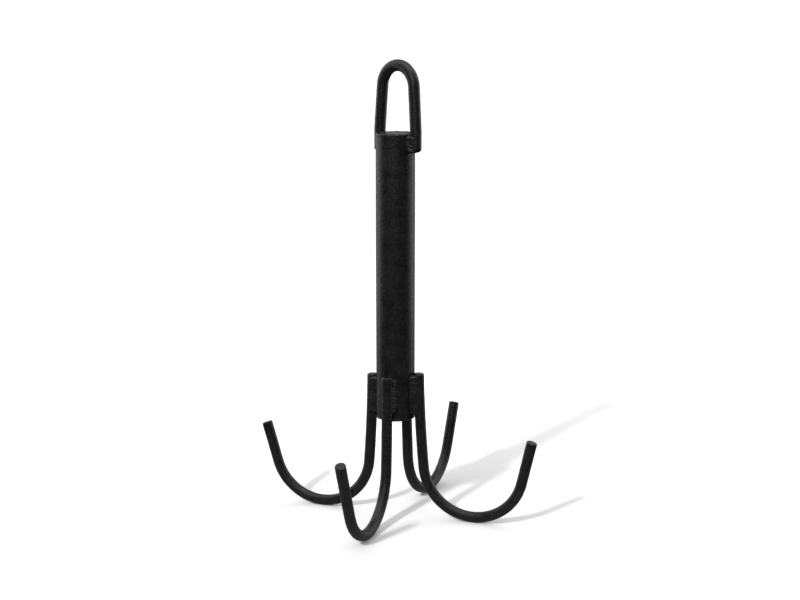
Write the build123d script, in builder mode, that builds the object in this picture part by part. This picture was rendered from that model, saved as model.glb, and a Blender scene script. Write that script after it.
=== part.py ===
"""Boat anchor: a four-pronged grapnel welded up from a length of pipe and bent round bar.

The origin is on the ground, under the middle of the shank. +Z is up and +X points along tine_right.
Lengths are in millimetres and angles in degrees. Angles round the shank run counter-clockwise from +X.
"""

from build123d import *
from math import asin, atan2, cos, degrees, hypot, radians, sin, sqrt
import os

os.makedirs("parts", exist_ok=True)

# Shank: 1 1/2 inch pipe, closed at each end by a disc let in flush
pipe_r = 48.3 / 2
pipe_wall = 3.7
shank_bottom = 128.0
shank_length = 357.0
shank_top = shank_bottom + shank_length
rim_chamfer = 0.8
cap_thickness = 5.0

# Bow: the rope's eye, one bar bent to a U, its legs lapped on the outside of the pipe
bow_bar_r = 14.2 / 2
bow_azimuth = -25.3
bow_offset = 4.0
bow_bend_r = 27.0
bow_bend_height = 540.0
bow_bend_shift = 0.8
bow_knee_height = 488.0
bow_knee_r = 60.0
bow_lap = 23.0
bow_end_slant = 21.0

# Tines: half-inch bar and its paint, bent to a J, the leg lapped on the outside of the pipe
tine_bar_r = 13.4 / 2
tine_bend_r = 65.0
leg_end_length = 10.0
leg_sweep_r = 1700.0
end_chamfer = 0.8
# Each tine was bent and set by hand: its azimuth, the height of its leg's top, how far the leg leans
# out there, the angle that the bar turns through from upright down to its tip, the straight tip's length,
# and the height at which its welds end
tines = {
    "tine_right": (0.0, 186.5, 1.5, 167.0, 55.5, 133.5),
    "tine_back": (84.0, 177.5, 1.3, 158.0, 59.0, 131.0),
    "tine_left": (180.0, 181.5, 0.8, 163.5, 53.0, 132.0),
    "tine_front": (270.0, 186.0, 0.0, 158.0, 76.0, 138.5),
}

# Welds: a bead in the groove at each side of each leg, and one round each cap
groove_weld_r = 6.2
groove_weld_x = 27.0
groove_weld_y = 3.2
groove_root = 1.5
tine_weld_below_top = 1.5
bow_weld_below_top = 0.5
ring_weld_width = 5.8
ring_weld_height = 0.8


def pipe(outer_r, inner_r, bottom, length):
    """An upright round pipe, its outer rims bevelled."""
    with BuildPart(Plane.XY.offset(bottom)) as tube:
        Cylinder(outer_r, length, align=(Align.CENTER, Align.CENTER, Align.MIN))
        chamfer(tube.edges().filter_by(GeomType.CIRCLE), rim_chamfer)
        Cylinder(inner_r, length, align=(Align.CENTER, Align.CENTER, Align.MIN), mode=Mode.SUBTRACT)
    return tube


def cap(bottom):
    """The disc that closes one end of the pipe."""
    with BuildPart(Plane.XY.offset(bottom)) as disc:
        Cylinder(pipe_r - pipe_wall, cap_thickness, align=(Align.CENTER, Align.CENTER, Align.MIN))
    return disc


def ring_weld(face, outward):
    """A low crowned bead over the joint of cap and pipe, on the end face at one height."""
    joint_r = pipe_r - pipe_wall
    crown_r = (ring_weld_width**2 / 4 + ring_weld_height**2) / (2 * ring_weld_height)
    with BuildPart() as bead:
        with BuildSketch(Plane.XZ):
            with Locations((joint_r, face + outward * (ring_weld_height - crown_r))):
                Circle(crown_r)
            with Locations((joint_r, face + outward * crown_r)):
                Rectangle(2 * crown_r, 2 * crown_r, mode=Mode.INTERSECT)
        revolve(axis=Axis.Z)
    return bead


def upright_plane(azimuth, offset=0.0):
    """The vertical plane along an azimuth, its x outward and its y up, moved sideways by an offset."""
    outward = (cos(radians(azimuth)), sin(radians(azimuth)), 0)
    normal = Vector(sin(radians(azimuth)), -cos(radians(azimuth)), 0)
    return Plane(normal * -offset, x_dir=outward, z_dir=normal)


def tine(azimuth, leg_top, lean, turn, tip_length):
    """A J of round bar: a leg that sweeps out a little, a round bend down on the ground, a straight tip."""
    sweep_top = leg_top - leg_end_length * cos(radians(lean))
    drop = sweep_top - tine_bar_r - tine_bend_r + leg_sweep_r * sin(radians(lean))
    bend_start = degrees(asin(drop / (leg_sweep_r - tine_bend_r)))
    leg_x = pipe_r + tine_bar_r
    with BuildPart() as bar:
        with BuildLine(upright_plane(azimuth)):
            end = Line((leg_x, leg_top), (leg_x + leg_end_length * sin(radians(lean)), sweep_top))
            leg = JernArc(end @ 1, end % 1, leg_sweep_r, bend_start - lean)
            bend = JernArc(leg @ 1, leg % 1, tine_bend_r, turn - bend_start)
            Line(bend @ 1, bend @ 1 + (bend % 1) * tip_length)
        with BuildSketch(Plane(origin=end @ 0, z_dir=end % 0)):
            Circle(tine_bar_r)
        sweep()
        chamfer(bar.faces().filter_by(GeomType.PLANE).edges(), end_chamfer)
    return bar


def bow_lean(reach):
    """How far from upright a leg of the bow leans, from its knee up to where it meets the round bend."""
    rise = bow_bend_height - bow_knee_height
    return degrees(atan2(reach, rise) - asin(bow_bend_r / hypot(reach, rise)))


def bow_bend_point(side, lean):
    """Where the round bend meets a leg, seen along the bow's own plane."""
    x = bow_bend_shift + side * bow_bend_r * cos(radians(lean))
    return (x, bow_bend_height + bow_bend_r * sin(radians(lean)))


def bow():
    """A U of round bar: straight laps on the pipe, legs that lean in above it, a round bend, slanting ends."""
    lap_x = sqrt((pipe_r + bow_bar_r) ** 2 - bow_offset**2)
    foot = shank_top - bow_lap
    right_lean = bow_lean(lap_x - bow_bend_shift)
    left_lean = bow_lean(lap_x + bow_bend_shift)
    right_bend, left_bend = bow_bend_point(1, right_lean), bow_bend_point(-1, left_lean)
    plane = upright_plane(bow_azimuth, bow_offset)
    with BuildPart() as bar:
        with BuildLine(plane):
            right = ((lap_x, foot - bow_bar_r), (lap_x, bow_knee_height), right_bend)
            leg = FilletPolyline(*right, radius=bow_knee_r)
            JernArc(leg @ 1, leg % 1, bow_bend_r, 180 - right_lean - left_lean)
            left = (left_bend, (-lap_x, bow_knee_height), (-lap_x, foot - bow_bar_r))
            FilletPolyline(*left, radius=bow_knee_r)
        with BuildSketch(Plane(origin=leg @ 0, z_dir=leg % 0)):
            Circle(bow_bar_r)
        sweep()
        for side in (1, -1):
            inner_corner = plane.from_local_coords((side * (lap_x - bow_bar_r), foot, 0))
            slant = radians(bow_end_slant)
            across_cut = Vector(0, 0, cos(slant)) - plane.x_dir * side * sin(slant)
            split(bisect_by=Plane(origin=inner_corner, z_dir=across_cut), keep=Keep.TOP)
        chamfer(bar.faces().filter_by(GeomType.PLANE).edges(), end_chamfer)
    return bar


def groove_weld(bar, azimuth, side, low, high):
    """The bead in the groove between the pipe and one side of a leg, from one height to another."""
    with BuildPart() as bead:
        with BuildSketch(Plane.XY.offset(low).rotated((0, 0, azimuth))):
            with Locations((groove_weld_x, side * groove_weld_y)):
                Circle(groove_weld_r)
            with Locations((groove_weld_x, side * (groove_root + groove_weld_r))):
                Rectangle(2 * groove_weld_r, 2 * groove_weld_r, mode=Mode.INTERSECT)
        extrude(amount=high - low)
        Cylinder(pipe_r, 2 * shank_top, mode=Mode.SUBTRACT)
        add(bar.part, mode=Mode.SUBTRACT)
    return bead


def save(piece, name):
    piece.part.label = name
    export_step(piece.part, f"parts/{name}.step")


save(pipe(pipe_r, pipe_r - pipe_wall, shank_bottom, shank_length), "shank_pipe")
save(cap(shank_top - cap_thickness), "top_cap")
save(cap(shank_bottom), "bottom_cap")
save(ring_weld(shank_top, 1), "top_cap_weld")
save(ring_weld(shank_bottom, -1), "bottom_cap_weld")

bow_bar = bow()
save(bow_bar, "bow")
bow_weld_heights = (shank_top - bow_lap, shank_top - bow_weld_below_top)
contact = degrees(asin(bow_offset / (pipe_r + bow_bar_r)))
for leg_name, azimuth in (("right", bow_azimuth + contact), ("left", bow_azimuth + 180 - contact)):
    for side_name, side in (("a", -1), ("b", 1)):
        save(groove_weld(bow_bar, azimuth, side, *bow_weld_heights), f"bow_weld_{leg_name}_{side_name}")

for name, (azimuth, leg_top, lean, turn, tip_length, weld_low) in tines.items():
    bar = tine(azimuth, leg_top, lean, turn, tip_length)
    save(bar, name)
    for side_name, side in (("a", -1), ("b", 1)):
        weld = groove_weld(bar, azimuth, side, weld_low, leg_top - tine_weld_below_top)
        save(weld, f"{name}_weld_{side_name}")
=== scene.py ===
"""Looks of the boat anchor: black satin paint on a welded steel grapnel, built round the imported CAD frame.

Lengths are in metres and angles in degrees, in the frame of the CAD part: +Z is up, +X points along
tine_right, and angles round the shank run counter-clockwise from +X.
"""

from math import asin, atan2, ceil, cos, degrees, exp, hypot, pi, radians, sin, sqrt, tan

import bmesh
import bpy
import numpy as np
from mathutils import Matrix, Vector, noise


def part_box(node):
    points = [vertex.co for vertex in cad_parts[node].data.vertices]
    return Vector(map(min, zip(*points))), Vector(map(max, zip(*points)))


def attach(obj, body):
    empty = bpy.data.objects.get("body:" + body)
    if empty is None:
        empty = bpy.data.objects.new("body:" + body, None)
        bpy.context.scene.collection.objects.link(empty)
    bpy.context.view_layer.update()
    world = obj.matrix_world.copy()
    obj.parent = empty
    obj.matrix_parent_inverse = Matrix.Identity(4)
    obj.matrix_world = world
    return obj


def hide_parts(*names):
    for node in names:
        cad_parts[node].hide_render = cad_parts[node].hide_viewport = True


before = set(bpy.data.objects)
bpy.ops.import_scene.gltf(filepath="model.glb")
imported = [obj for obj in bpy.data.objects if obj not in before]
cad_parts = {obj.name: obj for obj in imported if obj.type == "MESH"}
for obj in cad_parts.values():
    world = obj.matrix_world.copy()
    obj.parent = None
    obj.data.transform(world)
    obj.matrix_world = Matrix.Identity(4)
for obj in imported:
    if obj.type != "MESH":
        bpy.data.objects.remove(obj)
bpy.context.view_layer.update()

MM = 0.001
STRAIGHT = 1e-9  # a turn in radians too small to bend a line

# The design's own dimensions, as the CAD part has them
PIPE_R = 24.15 * MM
TINE_R = 6.7 * MM
TINE_BEND_R = 65 * MM
TINE_END_LENGTH = 10 * MM
TINE_SWEEP_R = 1700 * MM
TINES = {  # azimuth, leg lean at the top, total turn, straight tip's length
    "tine_right": (0.0, 1.5, 167.0, 55.5 * MM),
    "tine_back": (84.0, 1.3, 158.0, 59.0 * MM),
    "tine_left": (180.0, 0.8, 163.5, 53.0 * MM),
    "tine_front": (270.0, 0.0, 158.0, 76.0 * MM),
}
BOW_R = 7.1 * MM
BOW_AZIMUTH = -25.3
BOW_OFFSET = 4.0 * MM
BOW_BEND_R = 27.0 * MM
BOW_BEND_HEIGHT = 540.0 * MM
BOW_BEND_SHIFT = 0.8 * MM
BOW_KNEE_HEIGHT = 488.0 * MM
BOW_KNEE_R = 60.0 * MM
BOW_END_SLANT = 21.0

# Heights that come from the frame
SHANK_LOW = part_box("shank_pipe")[0].z
SHANK_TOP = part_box("shank_pipe")[1].z
BOW_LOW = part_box("bow")[0].z


# ---------------------------------------------------------------- camera, floor and light

CAMERA_AZIMUTH = 19.73
CAMERA_DISTANCE = 1.919
CAMERA_HEIGHT = 0.664
CAMERA_SIDE = 0.00565
CAMERA_PITCH = 11.38
LENS_MM = 70.8
SENSOR_MM = 36
VIEW_LIMIT = 200


def around(azimuth, distance, side=0.0, height=0.0):
    """A point seen from the object: azimuth 0 is towards -Y, as for the views, and side is to the right."""
    a = radians(azimuth)
    return Vector((sin(a) * distance + cos(a) * side, -cos(a) * distance + sin(a) * side, height))


def make_camera():
    """A camera fitted to the photo's outline of the anchor."""
    data = bpy.data.cameras.new("camera")
    data.lens = LENS_MM
    data.sensor_width = SENSOR_MM
    data.clip_end = VIEW_LIMIT
    camera = bpy.data.objects.new("camera", data)
    camera.location = around(CAMERA_AZIMUTH, CAMERA_DISTANCE, CAMERA_SIDE, CAMERA_HEIGHT)
    camera.rotation_euler = (radians(90 - CAMERA_PITCH), 0, radians(CAMERA_AZIMUTH))
    bpy.context.scene.collection.objects.link(camera)
    bpy.context.scene.camera = camera


FLOOR_HALF_SIZE = 90
FLOOR_GREY = 0.69


def make_floor():
    """A plain white floor, wide enough to fill the view."""
    bm = bmesh.new()
    bmesh.ops.create_grid(bm, x_segments=1, y_segments=1, size=FLOOR_HALF_SIZE)
    data = bpy.data.meshes.new("floor")
    bm.to_mesh(data)
    bm.free()
    floor = bpy.data.objects.new("floor", data)
    bpy.context.scene.collection.objects.link(floor)
    white = bpy.data.materials.new("floor_white")
    white.use_nodes = True
    shader = white.node_tree.nodes["Principled BSDF"]
    shader.inputs["Base Color"].default_value = (FLOOR_GREY, FLOOR_GREY, FLOOR_GREY, 1)
    shader.inputs["Roughness"].default_value = 0.9
    shader.inputs["Specular IOR Level"].default_value = 0.0
    data.materials.append(white)
    floor.visible_glossy = False


SOFT_BOXES = {  # azimuth from the camera's, distance, height, width and height, radiance
    "left_box": (-120, 1.3, 0.70, (1.5, 1.9), 1.00),
    "right_box": (118, 1.3, 0.70, (1.5, 1.9), 0.95),
    "back_box": (180, 2.2, 0.75, (2.6, 1.2), 0.65),
    "top_box": (0, 0.1, 1.9, (2.0, 2.0), 1.5),
    "front_box": (-15, 1.4, 1.05, (1.0, 0.8), 1.9),
    "floor_sheen": (0, 0.0, 0.001, (0.62, 0.62), 0.20),
}
SOFT_BOX_AIM = Vector((0, 0, 0.28))


def soft_box(name, azimuth, distance, height, size, radiance):
    """A rectangle that shows only in the paint's reflections and faces the middle of the anchor."""
    data = bpy.data.lights.new(name, "AREA")
    data.shape = "RECTANGLE"
    data.size, data.size_y = size
    data.energy = radiance * pi * size[0] * size[1]
    light = bpy.data.objects.new(name, data)
    light.location = around(CAMERA_AZIMUTH + azimuth, distance, 0, height)
    aim = SOFT_BOX_AIM - light.location
    light.rotation_euler = aim.to_track_quat("-Z", "Y").to_euler()
    light.visible_camera = False
    light.visible_diffuse = False
    bpy.context.scene.collection.objects.link(light)


FLOOR_LIGHT_SIZE = 1.0
FLOOR_LIGHT_RADIANCE = 1.25
FLOOR_LIGHT_DISTANCE = 0.95
FLOOR_LIGHT_HEIGHT = 0.7


def make_floor_light():
    """A light behind the anchor, above its top, that faces down and brightens the floor there."""
    data = bpy.data.lights.new("floor_light", "AREA")
    data.size = FLOOR_LIGHT_SIZE
    data.energy = FLOOR_LIGHT_RADIANCE * pi * FLOOR_LIGHT_SIZE**2
    light = bpy.data.objects.new("floor_light", data)
    light.location = around(CAMERA_AZIMUTH + 180, FLOOR_LIGHT_DISTANCE, 0, FLOOR_LIGHT_HEIGHT)
    light.visible_camera = False
    light.visible_glossy = False
    bpy.context.scene.collection.objects.link(light)


KEY_AZIMUTH = -32.5  # from the camera's
KEY_ELEVATION = 37
KEY_ANGLE = 5
KEY_ENERGY = 2.9


def make_key():
    """A hard light from the front left, which casts the shadow. It doesn't show in the paint."""
    key = bpy.data.lights.new("key", "SUN")
    key.energy = KEY_ENERGY
    key.angle = radians(KEY_ANGLE)
    sun = bpy.data.objects.new("key", key)
    towards = around(CAMERA_AZIMUTH + KEY_AZIMUTH, 1.0, 0, tan(radians(KEY_ELEVATION)))
    sun.rotation_euler = towards.to_track_quat("Z", "Y").to_euler()
    sun.visible_glossy = False
    bpy.context.scene.collection.objects.link(sun)


def make_lights():
    """A white room, soft boxes round and above the anchor, a light for the floor, and the key."""
    world = bpy.data.worlds.new("white_room")
    world.use_nodes = True
    world.node_tree.nodes["Background"].inputs["Color"].default_value = (1, 1, 1, 1)
    world.node_tree.nodes["Background"].inputs["Strength"].default_value = 1.0
    world.cycles_visibility.glossy = False
    bpy.context.scene.world = world
    for name, place in SOFT_BOXES.items():
        soft_box(name, *place)
    make_floor_light()
    make_key()
    bpy.context.scene.view_settings.view_transform = "Standard"


# ---------------------------------------------------------------- paint

# Scale and detail of each noise, and for three of them the range that gives the whole effect
PATCHES, PATCH_RANGE = (60, 6), (0.35, 0.65)
SPECKS, SPECK_RANGE = (820, 5), (0.42, 0.74)
SHEEN, SHEEN_RANGE = (300, 5), (0.35, 0.65)
ORANGE_PEEL = (380, 4)
GRAIN = (1400, 3)
ORANGE_PEEL_DEPTH = 0.7 * MM
ORANGE_PEEL_STRENGTH = 0.55
GRAIN_DEPTH = 0.3 * MM
PATCH_STRENGTH = 0.35  # against 1 for the specks
DARK_BLUE, LIGHT_BLUE = 1.04, 1.02  # blue against red and green, in the two blacks


def noise_node(tree, kind, coordinates):
    """A noise fixed to the object. Its kind is a scale and a detail."""
    node = tree.nodes.new("ShaderNodeTexNoise")
    node.inputs["Scale"].default_value, node.inputs["Detail"].default_value = kind
    tree.links.new(coordinates.outputs["Object"], node.inputs["Vector"])
    return node


def ramp_node(tree, source, span, low, high):
    """Stretches a span of a noise to the values from low to high."""
    node = tree.nodes.new("ShaderNodeMapRange")
    node.inputs["From Min"].default_value, node.inputs["From Max"].default_value = span
    node.inputs["To Min"].default_value = low
    node.inputs["To Max"].default_value = high
    tree.links.new(source.outputs["Fac"], node.inputs["Value"])
    return node


def bump_node(tree, source, distance, strength, below=None):
    """A bump from a noise, on top of another bump if one is given."""
    node = tree.nodes.new("ShaderNodeBump")
    node.inputs["Distance"].default_value = distance
    node.inputs["Strength"].default_value = strength
    tree.links.new(source.outputs["Fac"], node.inputs["Height"])
    if below:
        tree.links.new(below.outputs["Normal"], node.inputs["Normal"])
    return node


def paint(name, dark, light, rough_low, rough_high, grain):
    """Black paint with a fine grain, paler specks, faint cloudy patches and an uneven sheen."""
    material = bpy.data.materials.new(name)
    material.use_nodes = True
    tree = material.node_tree
    shader = tree.nodes["Principled BSDF"]
    coordinates = tree.nodes.new("ShaderNodeTexCoord")
    patches = ramp_node(tree, noise_node(tree, PATCHES, coordinates), PATCH_RANGE, 0, 1)
    specks = ramp_node(tree, noise_node(tree, SPECKS, coordinates), SPECK_RANGE, 0, 1)
    both = tree.nodes.new("ShaderNodeMath")
    both.operation = "MULTIPLY_ADD"
    both.inputs[1].default_value = PATCH_STRENGTH
    tree.links.new(patches.outputs["Result"], both.inputs[0])
    tree.links.new(specks.outputs["Result"], both.inputs[2])
    mix = tree.nodes.new("ShaderNodeMix")
    mix.data_type = "RGBA"
    mix.inputs["A"].default_value = (dark, dark, dark * DARK_BLUE, 1)
    mix.inputs["B"].default_value = (light, light, light * LIGHT_BLUE, 1)
    tree.links.new(both.outputs["Value"], mix.inputs["Factor"])
    tree.links.new(mix.outputs["Result"], shader.inputs["Base Color"])
    sheen = noise_node(tree, SHEEN, coordinates)
    roughness = ramp_node(tree, sheen, SHEEN_RANGE, rough_low, rough_high)
    tree.links.new(roughness.outputs["Result"], shader.inputs["Roughness"])
    peel = noise_node(tree, ORANGE_PEEL, coordinates)
    coarse = bump_node(tree, peel, ORANGE_PEEL_DEPTH, ORANGE_PEEL_STRENGTH)
    fine = bump_node(tree, noise_node(tree, GRAIN, coordinates), GRAIN_DEPTH, grain, coarse)
    tree.links.new(fine.outputs["Normal"], shader.inputs["Normal"])
    return material


# ---------------------------------------------------------------- mesh helpers


def walk(start, heading, moves, step):
    """Points and headings along a line in a plane. Each move (length, turn) is straight or an even arc."""
    point, points, headings = np.array(start, float), [start], [heading]
    for length, turn in moves:
        count = ceil(length / step)
        part, bend = length / count, radians(turn) / count
        chord = part if abs(bend) < STRAIGHT else 2 * part / bend * sin(bend / 2)
        for _ in range(count):
            middle = radians(heading) + bend / 2
            point = point + chord * np.array((cos(middle), sin(middle)))
            heading += degrees(bend)
            points.append(tuple(point))
            headings.append(heading)
    return np.array(points), np.array(headings)


def upright(azimuth, offset=0.0):
    """The frame of an upright plane along an azimuth: outward, up and sideways, and where it starts."""
    a = radians(azimuth)
    outward = np.array((cos(a), sin(a), 0))
    up = np.array((0, 0, 1.0))
    side = np.array((-sin(a), cos(a), 0))
    return outward, up, side, side * offset


SEED_SHIFT = (7.31, 3.17, 5.73)


def smooth_noise(points, scale, seed):
    """A value about from -1 to 1 at each point, that changes over the given length."""
    shift = Vector([seed * step for step in SEED_SHIFT])
    return np.array([noise.noise(Vector(p) / scale + shift) for p in points])


FINE_LUMPS = 0.6  # their height, against 1 for the coarse ones


def lumps(coarse, fine):
    """Coarse and fine lumps together, each read from the noise at its own place."""
    return noise.noise(coarse) + FINE_LUMPS * noise.noise(fine)


RIPPLE_MEAN = 0.6


def ripple(phase):
    """A weld's ripple at a phase that counts in radians: round crests, sharp valleys, about 0 on average."""
    return abs(sin(phase)) - RIPPLE_MEAN


def loft(rings):
    """Vertices and faces of a closed skin over rings of points, each end closed by a fan."""
    rings = np.asarray(rings)
    count, size = rings.shape[:2]
    vertices = [tuple(p) for ring in rings for p in ring]
    faces = []
    for i in range(count - 1):
        for j in range(size):
            k = (j + 1) % size
            faces.append((i * size + j, i * size + k, (i + 1) * size + k, (i + 1) * size + j))
    for ring, first in ((rings[0], 0), (rings[-1], (count - 1) * size)):
        vertices.append(tuple(ring.mean(axis=0)))
        for j in range(size):
            faces.append((first + j, first + (j + 1) % size, len(vertices) - 1))
    return vertices, faces


def piece(name, vertices, faces, material, slot, *nodes):
    """A smooth mesh that rides on the anchor and stands for CAD nodes."""
    data = bpy.data.meshes.new(name)
    data.from_pydata(vertices, [], faces)
    bm = bmesh.new()
    bm.from_mesh(data)
    bmesh.ops.recalc_face_normals(bm, faces=bm.faces)
    bm.to_mesh(data)
    bm.free()
    data.polygons.foreach_set("use_smooth", [True] * len(data.polygons))
    data.materials.append(material)
    made = bpy.data.objects.new(name, data)
    bpy.context.scene.collection.objects.link(made)
    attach(made, "root")
    if nodes:
        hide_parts(*nodes)
    return made


# ---------------------------------------------------------------- bars

BAR_STEP = 1.3 * MM
BAR_SIDES = 36
# Rings that round off an end: how far in each is, in mm, and its share of the bar's radius
END_ROUNDING = ((0.0, 0.45), (0.0, 0.66), (0.02, 0.84), (0.14, 0.915), (0.42, 0.968), (0.9, 1.0))
END_MARGIN = 1.3 * MM  # from an end to the first ring past its rounding
LEG_END_WEAR = 1.7  # how much rounder the tops of the tines' legs are
TINE_SLANTS = (2.0, 3.0)  # how far out of square a leg's top and a tip are sawn
SLANT_REACH = 14 * MM
TINE_SEED = 11
BOW_SEED = 31
DENT_HEIGHT, DENT_SIZE = 0.10 * MM, 9 * MM
PIT_HEIGHT, PIT_SIZE = 0.05 * MM, 2.5 * MM


def bar_stations(along, first_wear):
    """Where rings go along a bar, with each ring's share of the radius. Both ends are rounded off."""
    total = along[-1]
    stations = [(s * MM * first_wear, 1 - (1 - k) * first_wear) for s, k in END_ROUNDING]
    stations += [(s, 1.0) for s in along if END_MARGIN * first_wear < s < total - END_MARGIN]
    stations += [(total - s * MM, k) for s, k in reversed(END_ROUNDING)]
    return stations


def roughen(rings, radius, seed):
    """Gives a bar's skin shallow dents and pits."""
    flat = rings.reshape(-1, 3)
    outwards = flat - np.repeat(rings.mean(axis=1), BAR_SIDES, axis=0)
    relief = DENT_HEIGHT * smooth_noise(flat, DENT_SIZE, seed)
    relief = relief + PIT_HEIGHT * smooth_noise(flat, PIT_SIZE, seed + 1)
    return (flat + outwards / radius * relief[:, None]).reshape(rings.shape)


def bar_rings(points, headings, radius, plane, seed, slants, first_wear=1.0):
    """Rings round a bent bar. Its ends are sawn at a slant, with worn edges, and its skin is uneven."""
    outward, up, side, origin = plane
    steps = np.hypot(*np.diff(points, axis=0).T)
    along = np.concatenate(((0,), np.cumsum(steps)))
    angles = np.arange(BAR_SIDES) * 2 * pi / BAR_SIDES
    rings = []
    for s, k in bar_stations(along, first_wear):
        centre = np.array([np.interp(s, along, points[:, i]) for i in range(2)])
        h = radians(np.interp(s, along, headings))
        ahead = cos(h) * outward + sin(h) * up
        across = -sin(h) * outward + cos(h) * up
        middle = origin + centre[0] * outward + centre[1] * up
        fade_in = max(0.0, 1 - s / SLANT_REACH)
        fade_out = max(0.0, 1 - (along[-1] - s) / SLANT_REACH)
        slope = tan(radians(slants[0])) * fade_in + tan(radians(slants[1])) * fade_out
        ring = []
        for a in angles:
            x, y = k * radius * cos(a), k * radius * sin(a)
            ring.append(middle + across * x + side * y + ahead * x * slope)
        rings.append(ring)
    return roughen(np.array(rings), radius, seed)


def tine_line(name):
    """A tine's centreline in its own upright plane, as x outward and y up."""
    azimuth, lean, turn, tip = TINES[name]
    leg_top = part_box(name)[1].z
    sweep_top = leg_top - TINE_END_LENGTH * cos(radians(lean))
    drop = sweep_top - TINE_R - TINE_BEND_R + TINE_SWEEP_R * sin(radians(lean))
    bend_start = degrees(asin(drop / (TINE_SWEEP_R - TINE_BEND_R)))
    moves = (
        (TINE_END_LENGTH, 0),
        (TINE_SWEEP_R * radians(bend_start - lean), bend_start - lean),
        (TINE_BEND_R * radians(turn - bend_start), turn - bend_start),
        (tip, 0),
    )
    return walk((PIPE_R + TINE_R, leg_top), lean - 90, moves, BAR_STEP)


def bow_lean(reach):
    """How far from upright a leg of the bow leans, from its knee up to the round bend."""
    rise = BOW_BEND_HEIGHT - BOW_KNEE_HEIGHT
    return degrees(atan2(reach, rise) - asin(BOW_BEND_R / hypot(reach, rise)))


def bow_leg(lap_x, side, foot):
    """A leg's lean, its straight lap, its knee and its slope up to the round bend."""
    reach = lap_x - side * BOW_BEND_SHIFT
    lean = bow_lean(reach)
    trim = BOW_KNEE_R * tan(radians(lean / 2))
    slope = sqrt(reach**2 + (BOW_BEND_HEIGHT - BOW_KNEE_HEIGHT) ** 2 - BOW_BEND_R**2) - trim
    lap = BOW_KNEE_HEIGHT - trim - foot
    return lean, (lap, 0), (BOW_KNEE_R * radians(lean), lean), (slope, 0)


def bow_line():
    """The bow's centreline in its own upright plane, from the foot of one leg to the foot of the other."""
    lap_x = sqrt((PIPE_R + BOW_R) ** 2 - BOW_OFFSET**2)
    foot = BOW_LOW + BOW_R * tan(radians(BOW_END_SLANT))
    right_lean, right_lap, right_knee, right_slope = bow_leg(lap_x, 1, foot)
    left_lean, left_lap, left_knee, left_slope = bow_leg(lap_x, -1, foot)
    turn = 180 - right_lean - left_lean
    arch = (BOW_BEND_R * radians(turn), turn)
    moves = (right_lap, right_knee, right_slope, arch, left_slope, left_knee, left_lap)
    return walk((lap_x, foot), 90, moves, BAR_STEP)


def make_bars(black):
    """The four tines and the bow."""
    for number, name in enumerate(TINES):
        points, headings = tine_line(name)
        plane = upright(TINES[name][0])
        seed = TINE_SEED + number
        rings = bar_rings(points, headings, TINE_R, plane, seed, TINE_SLANTS, LEG_END_WEAR)
        piece(name + "_bar", *loft(rings), black, "black_paint", name)
    points, headings = bow_line()
    plane = upright(BOW_AZIMUTH, BOW_OFFSET)
    slants = (-BOW_END_SLANT, -BOW_END_SLANT)
    rings = bar_rings(points, headings, BOW_R, plane, BOW_SEED, slants)
    piece("bow_bar", *loft(rings), black, "black_paint", "bow")


# ---------------------------------------------------------------- weld beads

BEAD_STEP = 0.4 * MM
BEAD_ARC = 21
BEAD_ROOT = 1.5 * MM
BEAD_TOE_DEPTH = 0.25 * MM
# How far round the pipe and the bar a bead reaches, how much that wanders, and over what length
PIPE_TOE, PIPE_TOE_WANDER = 24.5, 3.0
BAR_TOE, BAR_TOE_WANDER = 56.0, 12.0
TOE_DRIFT = 7 * MM
BAR_TOE_PACE = 1.3  # of the wander at the bar, against 1 at the pipe
# Ripple pitch and height, lump height and crown height
TINE_BEAD = (4.0 * MM, 0.24 * MM, 0.28 * MM, 0.70 * MM)
BOW_BEAD = (5.6 * MM, 0.50 * MM, 1.20 * MM, 1.10 * MM)
RIPPLE_SKEW = 0.55  # of the pitch, from one toe to the other
RIPPLE_BOW = 0.8 * MM
RIPPLE_WOBBLE, WOBBLE_SIZE = 0.6, 5 * MM
LUMP_SIZE = 6 * MM
LUMPS_ACROSS = 1.7
LUMP_FINENESS = 2.4
TOE_RELIEF = 0.15  # of the ripples and lumps at a toe, against 1 on the crown
# What one more in the seed adds to the place of each noise and to the ripples' phase
TOE_STEP, LUMP_STEP, PHASE_STEP = 5.1, 3.7, 0.37
# A bead is thicker where it starts, at the bottom, and where it stops, and it tapers off at both ends
START_SWELL, STOP_SWELL, SWELL_REACH = 0.5, 0.35, 5 * MM
TAPER_REACH = 4.0 * MM
LEAST_TAPER = 0.02


def bead_toes(leg_x, bar_r, z, seed):
    """Where a bead's skin meets the pipe and the bar at one height, as distances outward and sideways."""
    drift = Vector((z / TOE_DRIFT, seed * TOE_STEP, 0.5))
    pipe_toe = radians(PIPE_TOE + PIPE_TOE_WANDER * noise.noise(drift))
    bar_toe = radians(BAR_TOE + BAR_TOE_WANDER * noise.noise(drift * BAR_TOE_PACE))
    on_pipe = (PIPE_R - BEAD_TOE_DEPTH) * np.array((cos(pipe_toe), sin(pipe_toe)))
    on_bar = (bar_r - BEAD_TOE_DEPTH) * np.array((cos(bar_toe), sin(bar_toe))) + (leg_x, 0)
    return on_pipe, on_bar


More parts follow.
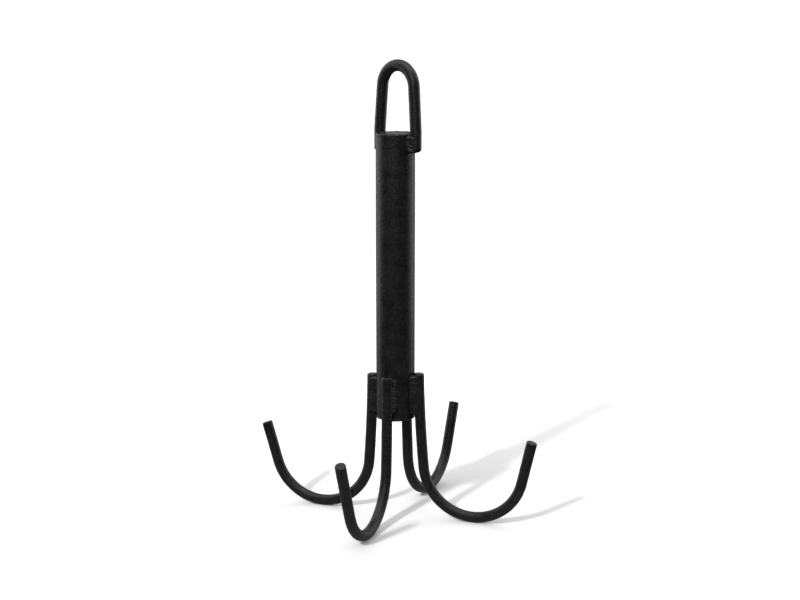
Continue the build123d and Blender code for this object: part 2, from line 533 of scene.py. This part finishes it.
def bead_rises(z, low, high, style, seed):
    """Pairs of a share of the way across a bead and how far its skin stands proud there."""
    pitch, ripple_height, lump_height, crown_height = style
    skew = RIPPLE_SKEW * pitch * (1 if seed % 2 else -1)
    swell = START_SWELL * exp(-(((z - low) / SWELL_REACH) ** 2))
    swell += STOP_SWELL * exp(-(((high - z) / SWELL_REACH) ** 2))
    wobble = noise.noise(Vector((z / WOBBLE_SIZE, seed, 0)))
    rises = []
    for i in range(BEAD_ARC):
        share = i / (BEAD_ARC - 1)
        crown = 1 - (2 * share - 1) ** 2
        spot = Vector((z / LUMP_SIZE, share * LUMPS_ACROSS, seed * LUMP_STEP))
        phase = (z + RIPPLE_BOW * crown + skew * share) / pitch + RIPPLE_WOBBLE * wobble + seed * PHASE_STEP
        relief = ripple_height * ripple(pi * phase) + lump_height * lumps(spot, spot * LUMP_FINENESS)
        rise = crown_height * (1 + swell) * crown
        rise += relief * (TOE_RELIEF + (1 - TOE_RELIEF) * crown)
        rises.append((share, rise))
    return rises


def bead_rings(bar_x, bar_r, azimuth, side, low, high, style, seed):
    """Rings, from low to high, of a rippled bead in the groove between the pipe and one side of a leg."""
    outward, up, across, _ = upright(azimuth)
    across = across * side
    rings = []
    for z in np.linspace(low, high, ceil((high - low) / BEAD_STEP)):
        leg_x = bar_x(z)
        on_pipe, on_bar = bead_toes(leg_x, bar_r, z, seed)
        chord = on_bar - on_pipe
        proud = np.array((-chord[1], chord[0])) / np.linalg.norm(chord)
        root = np.array((0.5 * (leg_x - bar_r + PIPE_R), BEAD_ROOT))
        from_end = min(z - low, high - z) / TAPER_REACH
        taper = sqrt(max(LEAST_TAPER, 1 - max(0.0, 1 - from_end) ** 2))
        ring = []
        for share, rise in bead_rises(z, low, high, style, seed):
            skin = on_pipe + chord * share + proud * rise
            ring.append(root + (skin - root) * taper)
        ring.append(root)
        rings.append([p[0] * outward + p[1] * across + z * up for p in ring])
    return rings


def tine_leg(name):
    """A function that says how far out the middle of a tine's leg is at a height."""
    points, _ = tine_line(name)
    leg = points[: int(np.argmin(points[:, 1]))][::-1]

    def leg_x(z):
        return float(np.interp(z, leg[:, 1], leg[:, 0]))

    return leg_x


def bow_lap(z):
    """How far out the middle of the bow's leg is, which is the same at every height of its lap."""
    return PIPE_R + BOW_R


def make_beads(metal):
    """Two beads at each tine's leg and at each foot of the bow."""
    contact = degrees(asin(BOW_OFFSET / (PIPE_R + BOW_R)))
    legs = [(name + "_weld", tine_leg(name), TINE_R, TINES[name][0], TINE_BEAD) for name in TINES]
    legs.append(("bow_weld_right", bow_lap, BOW_R, BOW_AZIMUTH + contact, BOW_BEAD))
    legs.append(("bow_weld_left", bow_lap, BOW_R, BOW_AZIMUTH + 180 - contact, BOW_BEAD))
    seed = 1
    for weld, bar_x, bar_r, azimuth, style in legs:
        for side_name, side in (("a", -1), ("b", 1)):
            node = f"{weld}_{side_name}"
            low, high = (corner.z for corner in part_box(node))
            rings = bead_rings(bar_x, bar_r, azimuth, side, low, high, style, seed)
            piece(node + "_bead", *loft(rings), metal, "weld_paint", node)
            seed += 1


# ---------------------------------------------------------------- spatter

# Bands of the pipe with spatter: their middle height and how far up and down they reach
BY_THE_BOW = (SHANK_TOP - 16 * MM, 11 * MM)
UNDER_THE_CAP = (SHANK_TOP - 12 * MM, 6 * MM)
BY_THE_TINES = (SHANK_LOW + 34 * MM, 18 * MM)
SPATTER_FIELDS = (  # azimuth and its spread, band, number of drops
    (BOW_AZIMUTH, 34.0, BY_THE_BOW, 26),
    (BOW_AZIMUTH + 180, 34.0, BY_THE_BOW, 16),
    (-70.0, 26.0, UNDER_THE_CAP, 16),
    (-40.0, 20.0, BY_THE_TINES, 12),
    (40.0, 20.0, BY_THE_TINES, 8),
    (130.0, 20.0, BY_THE_TINES, 8),
    (225.0, 18.0, BY_THE_TINES, 10),
)
SPATTER_SEED = 7
SPATTER_SIDES = 12
SPATTER_RADII = (0.35, 1.0)  # in mm
# Rings of a drop: how wide each is and how far it stands off the pipe, as shares of the drop's radius
DROP_PROFILE = ((1.0, -0.35), (0.97, 0.0), (0.80, 0.32), (0.48, 0.52), (0.18, 0.60))


def drop(azimuth, height, radius):
    """Vertices and faces of one small dome of spatter that sits on the pipe."""
    outward, up, across, _ = upright(azimuth)
    foot = outward * PIPE_R + up * height
    turns = np.arange(SPATTER_SIDES) * 2 * pi / SPATTER_SIDES
    rings = []
    for reach, rise in DROP_PROFILE:
        ring = [foot + radius * (reach * (cos(t) * across + sin(t) * up) + rise * outward) for t in turns]
        rings.append(ring)
    return loft(rings)


def make_spatter(metal):
    """Droplets thrown on the pipe by the welding, thickest beside the bow's feet and under the cap."""
    chance = np.random.default_rng(SPATTER_SEED)
    vertices, faces = [], []
    for azimuth, spread, (height, rise), count in SPATTER_FIELDS:
        for _ in range(count):
            radius = chance.uniform(*SPATTER_RADII) * MM
            place = (azimuth + spread * chance.uniform(-1, 1), height + rise * chance.uniform(-1, 1))
            points, skin = drop(*place, radius)
            start = len(vertices)
            vertices += points
            faces += [tuple(start + i for i in face) for face in skin]
    piece("weld_spatter", vertices, faces, metal, "weld_paint")


# ---------------------------------------------------------------- ring beads round the caps

RING_HALF_WIDTH = 3.55 * MM
RING_HALF_HEIGHT = 2.1 * MM
RING_CENTRE_R = 20.9 * MM
RING_SINK = 1.45 * MM
RING_SIDES = 30
RING_STEPS = 360
RING_RIPPLES = 30
RING_RIPPLE_HEIGHT = 0.30 * MM
RING_LUMP_HEIGHT = 0.55 * MM
RING_COARSENESS, RING_FINENESS = 1.2, 3.3
RING_PATH, RING_ACROSS = 3, 0.9  # how wide the noise's path is round the pipe and across the bead
RING_STEP = 9  # between the two rings' noises
RING_TWIST = 0.05
RING_WOBBLE = 0.8
RING_EDGE_SHARE = 0.4  # of the relief at the edges, against 1 on the crown
SQUARENESS = 0.75  # 1 is a circle, less is squarer


def squared(value):
    """Keeps -1, 0 and 1 but pushes what is between outward, which turns a circle into a rounded box."""
    return abs(value) ** SQUARENESS * (1 if value > 0 else -1)


def ring_point(turn, a, face, outward, seed):
    """A point of the skin of a ring bead: turn goes round the pipe and a goes round the bead."""
    spot = Vector((RING_PATH * cos(turn) + RING_STEP * seed, RING_PATH * sin(turn), RING_ACROSS * cos(a)))
    lump = lumps(spot * RING_COARSENESS, spot * RING_FINENESS)
    phase = RING_RIPPLES * (turn + RING_TWIST * sin(a)) + RING_WOBBLE * lump
    relief = RING_RIPPLE_HEIGHT * ripple(phase) + RING_LUMP_HEIGHT * lump
    r = RING_CENTRE_R + (RING_HALF_WIDTH + RING_EDGE_SHARE * relief) * squared(cos(a))
    z = face + outward * ((RING_HALF_HEIGHT + relief) * squared(sin(a)) - RING_SINK)
    return r * cos(turn), r * sin(turn), z


def make_ring(name, node, face, outward, seed, metal):
    """The rippled bead round a cap. It wraps the pipe's rim, and its edges wander."""
    vertices, faces = [], []
    for i in range(RING_STEPS):
        here, there = i * RING_SIDES, (i + 1) % RING_STEPS * RING_SIDES
        for j in range(RING_SIDES):
            k = (j + 1) % RING_SIDES
            point = ring_point(2 * pi * i / RING_STEPS, 2 * pi * j / RING_SIDES, face, outward, seed)
            vertices.append(point)
            faces.append((here + j, here + k, there + k, there + j))
    piece(name, vertices, faces, metal, "weld_paint", node)


# ---------------------------------------------------------------- the anchor

make_camera()
make_floor()
make_lights()
black = paint("black_paint", dark=0.0014, light=0.0100, rough_low=0.26, rough_high=0.44, grain=0.5)
metal = paint("weld_paint", dark=0.0014, light=0.0105, rough_low=0.25, rough_high=0.42, grain=0.4)
make_bars(black)
make_beads(metal)
make_spatter(metal)
make_ring("top_ring_bead", "top_cap_weld", SHANK_TOP, 1, 1, metal)
make_ring("bottom_ring_bead", "bottom_cap_weld", SHANK_LOW, -1, 2, metal)
for name in ("shank_pipe", "top_cap", "bottom_cap"):
    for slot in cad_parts[name].material_slots:
        slot.material = black
